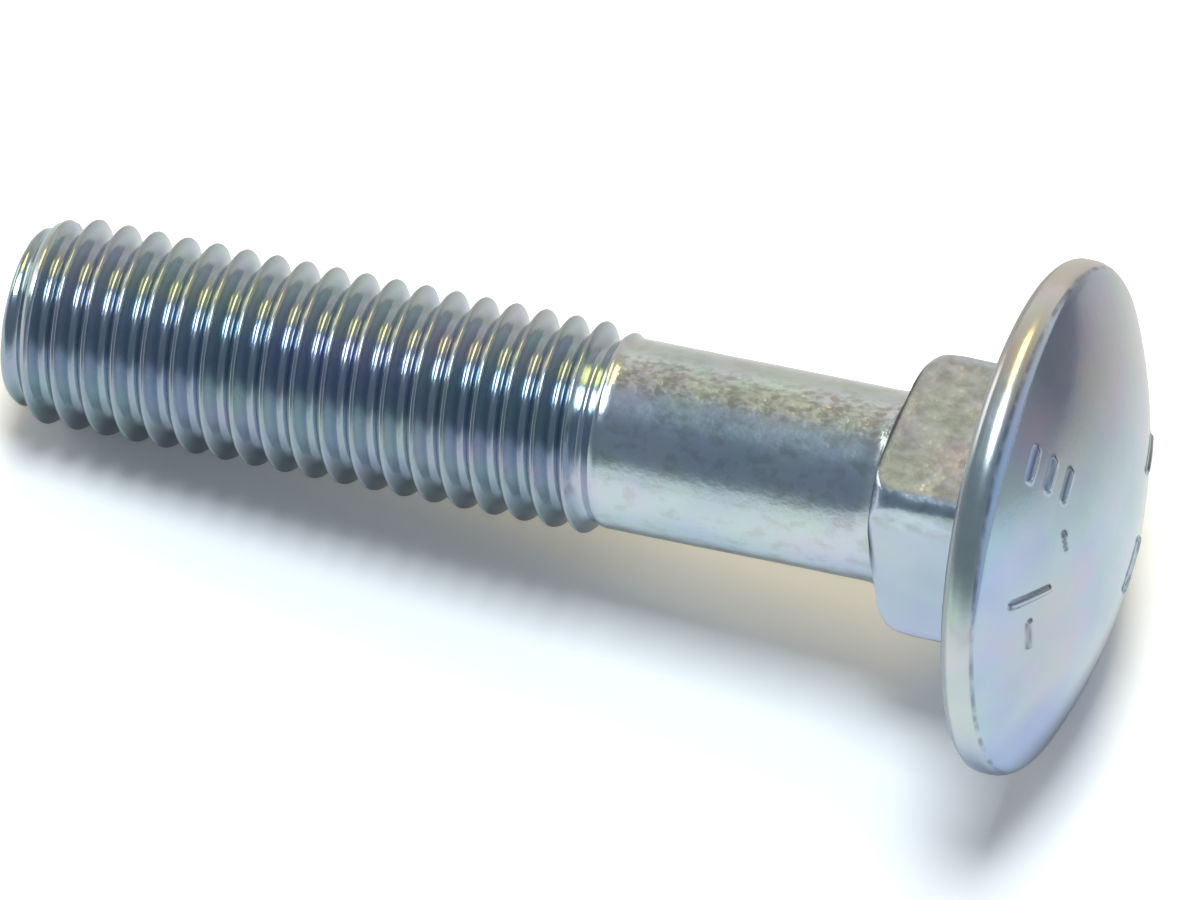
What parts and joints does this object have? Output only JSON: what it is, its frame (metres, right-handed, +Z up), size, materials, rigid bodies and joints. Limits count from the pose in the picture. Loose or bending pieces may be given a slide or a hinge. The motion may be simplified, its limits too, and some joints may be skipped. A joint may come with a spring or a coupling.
{
  "type": "carriage bolt",
  "caption": "Carriage bolt with a low domed round head, a square neck that stops it turning, a plain shank and a rolled thread, lying on its side.",
  "frame": {"origin": "on the surface that the bolt lies on, under the middle of its box", "axes": "+X along the bolt towards its head, seen from above; +Z up. The bolt's axis rises by 8.48 degrees towards the head"},
  "size_m": [0.0548, 0.0244, 0.0242],
  "materials": {
    "zinc_steel": "bright blue zinc plating, smooth on the head, drawn and slightly rough on neck and shank"
  },
  "bodies": {
    "root": {"bolt": "zinc_steel"}
  },
  "joints": []
}
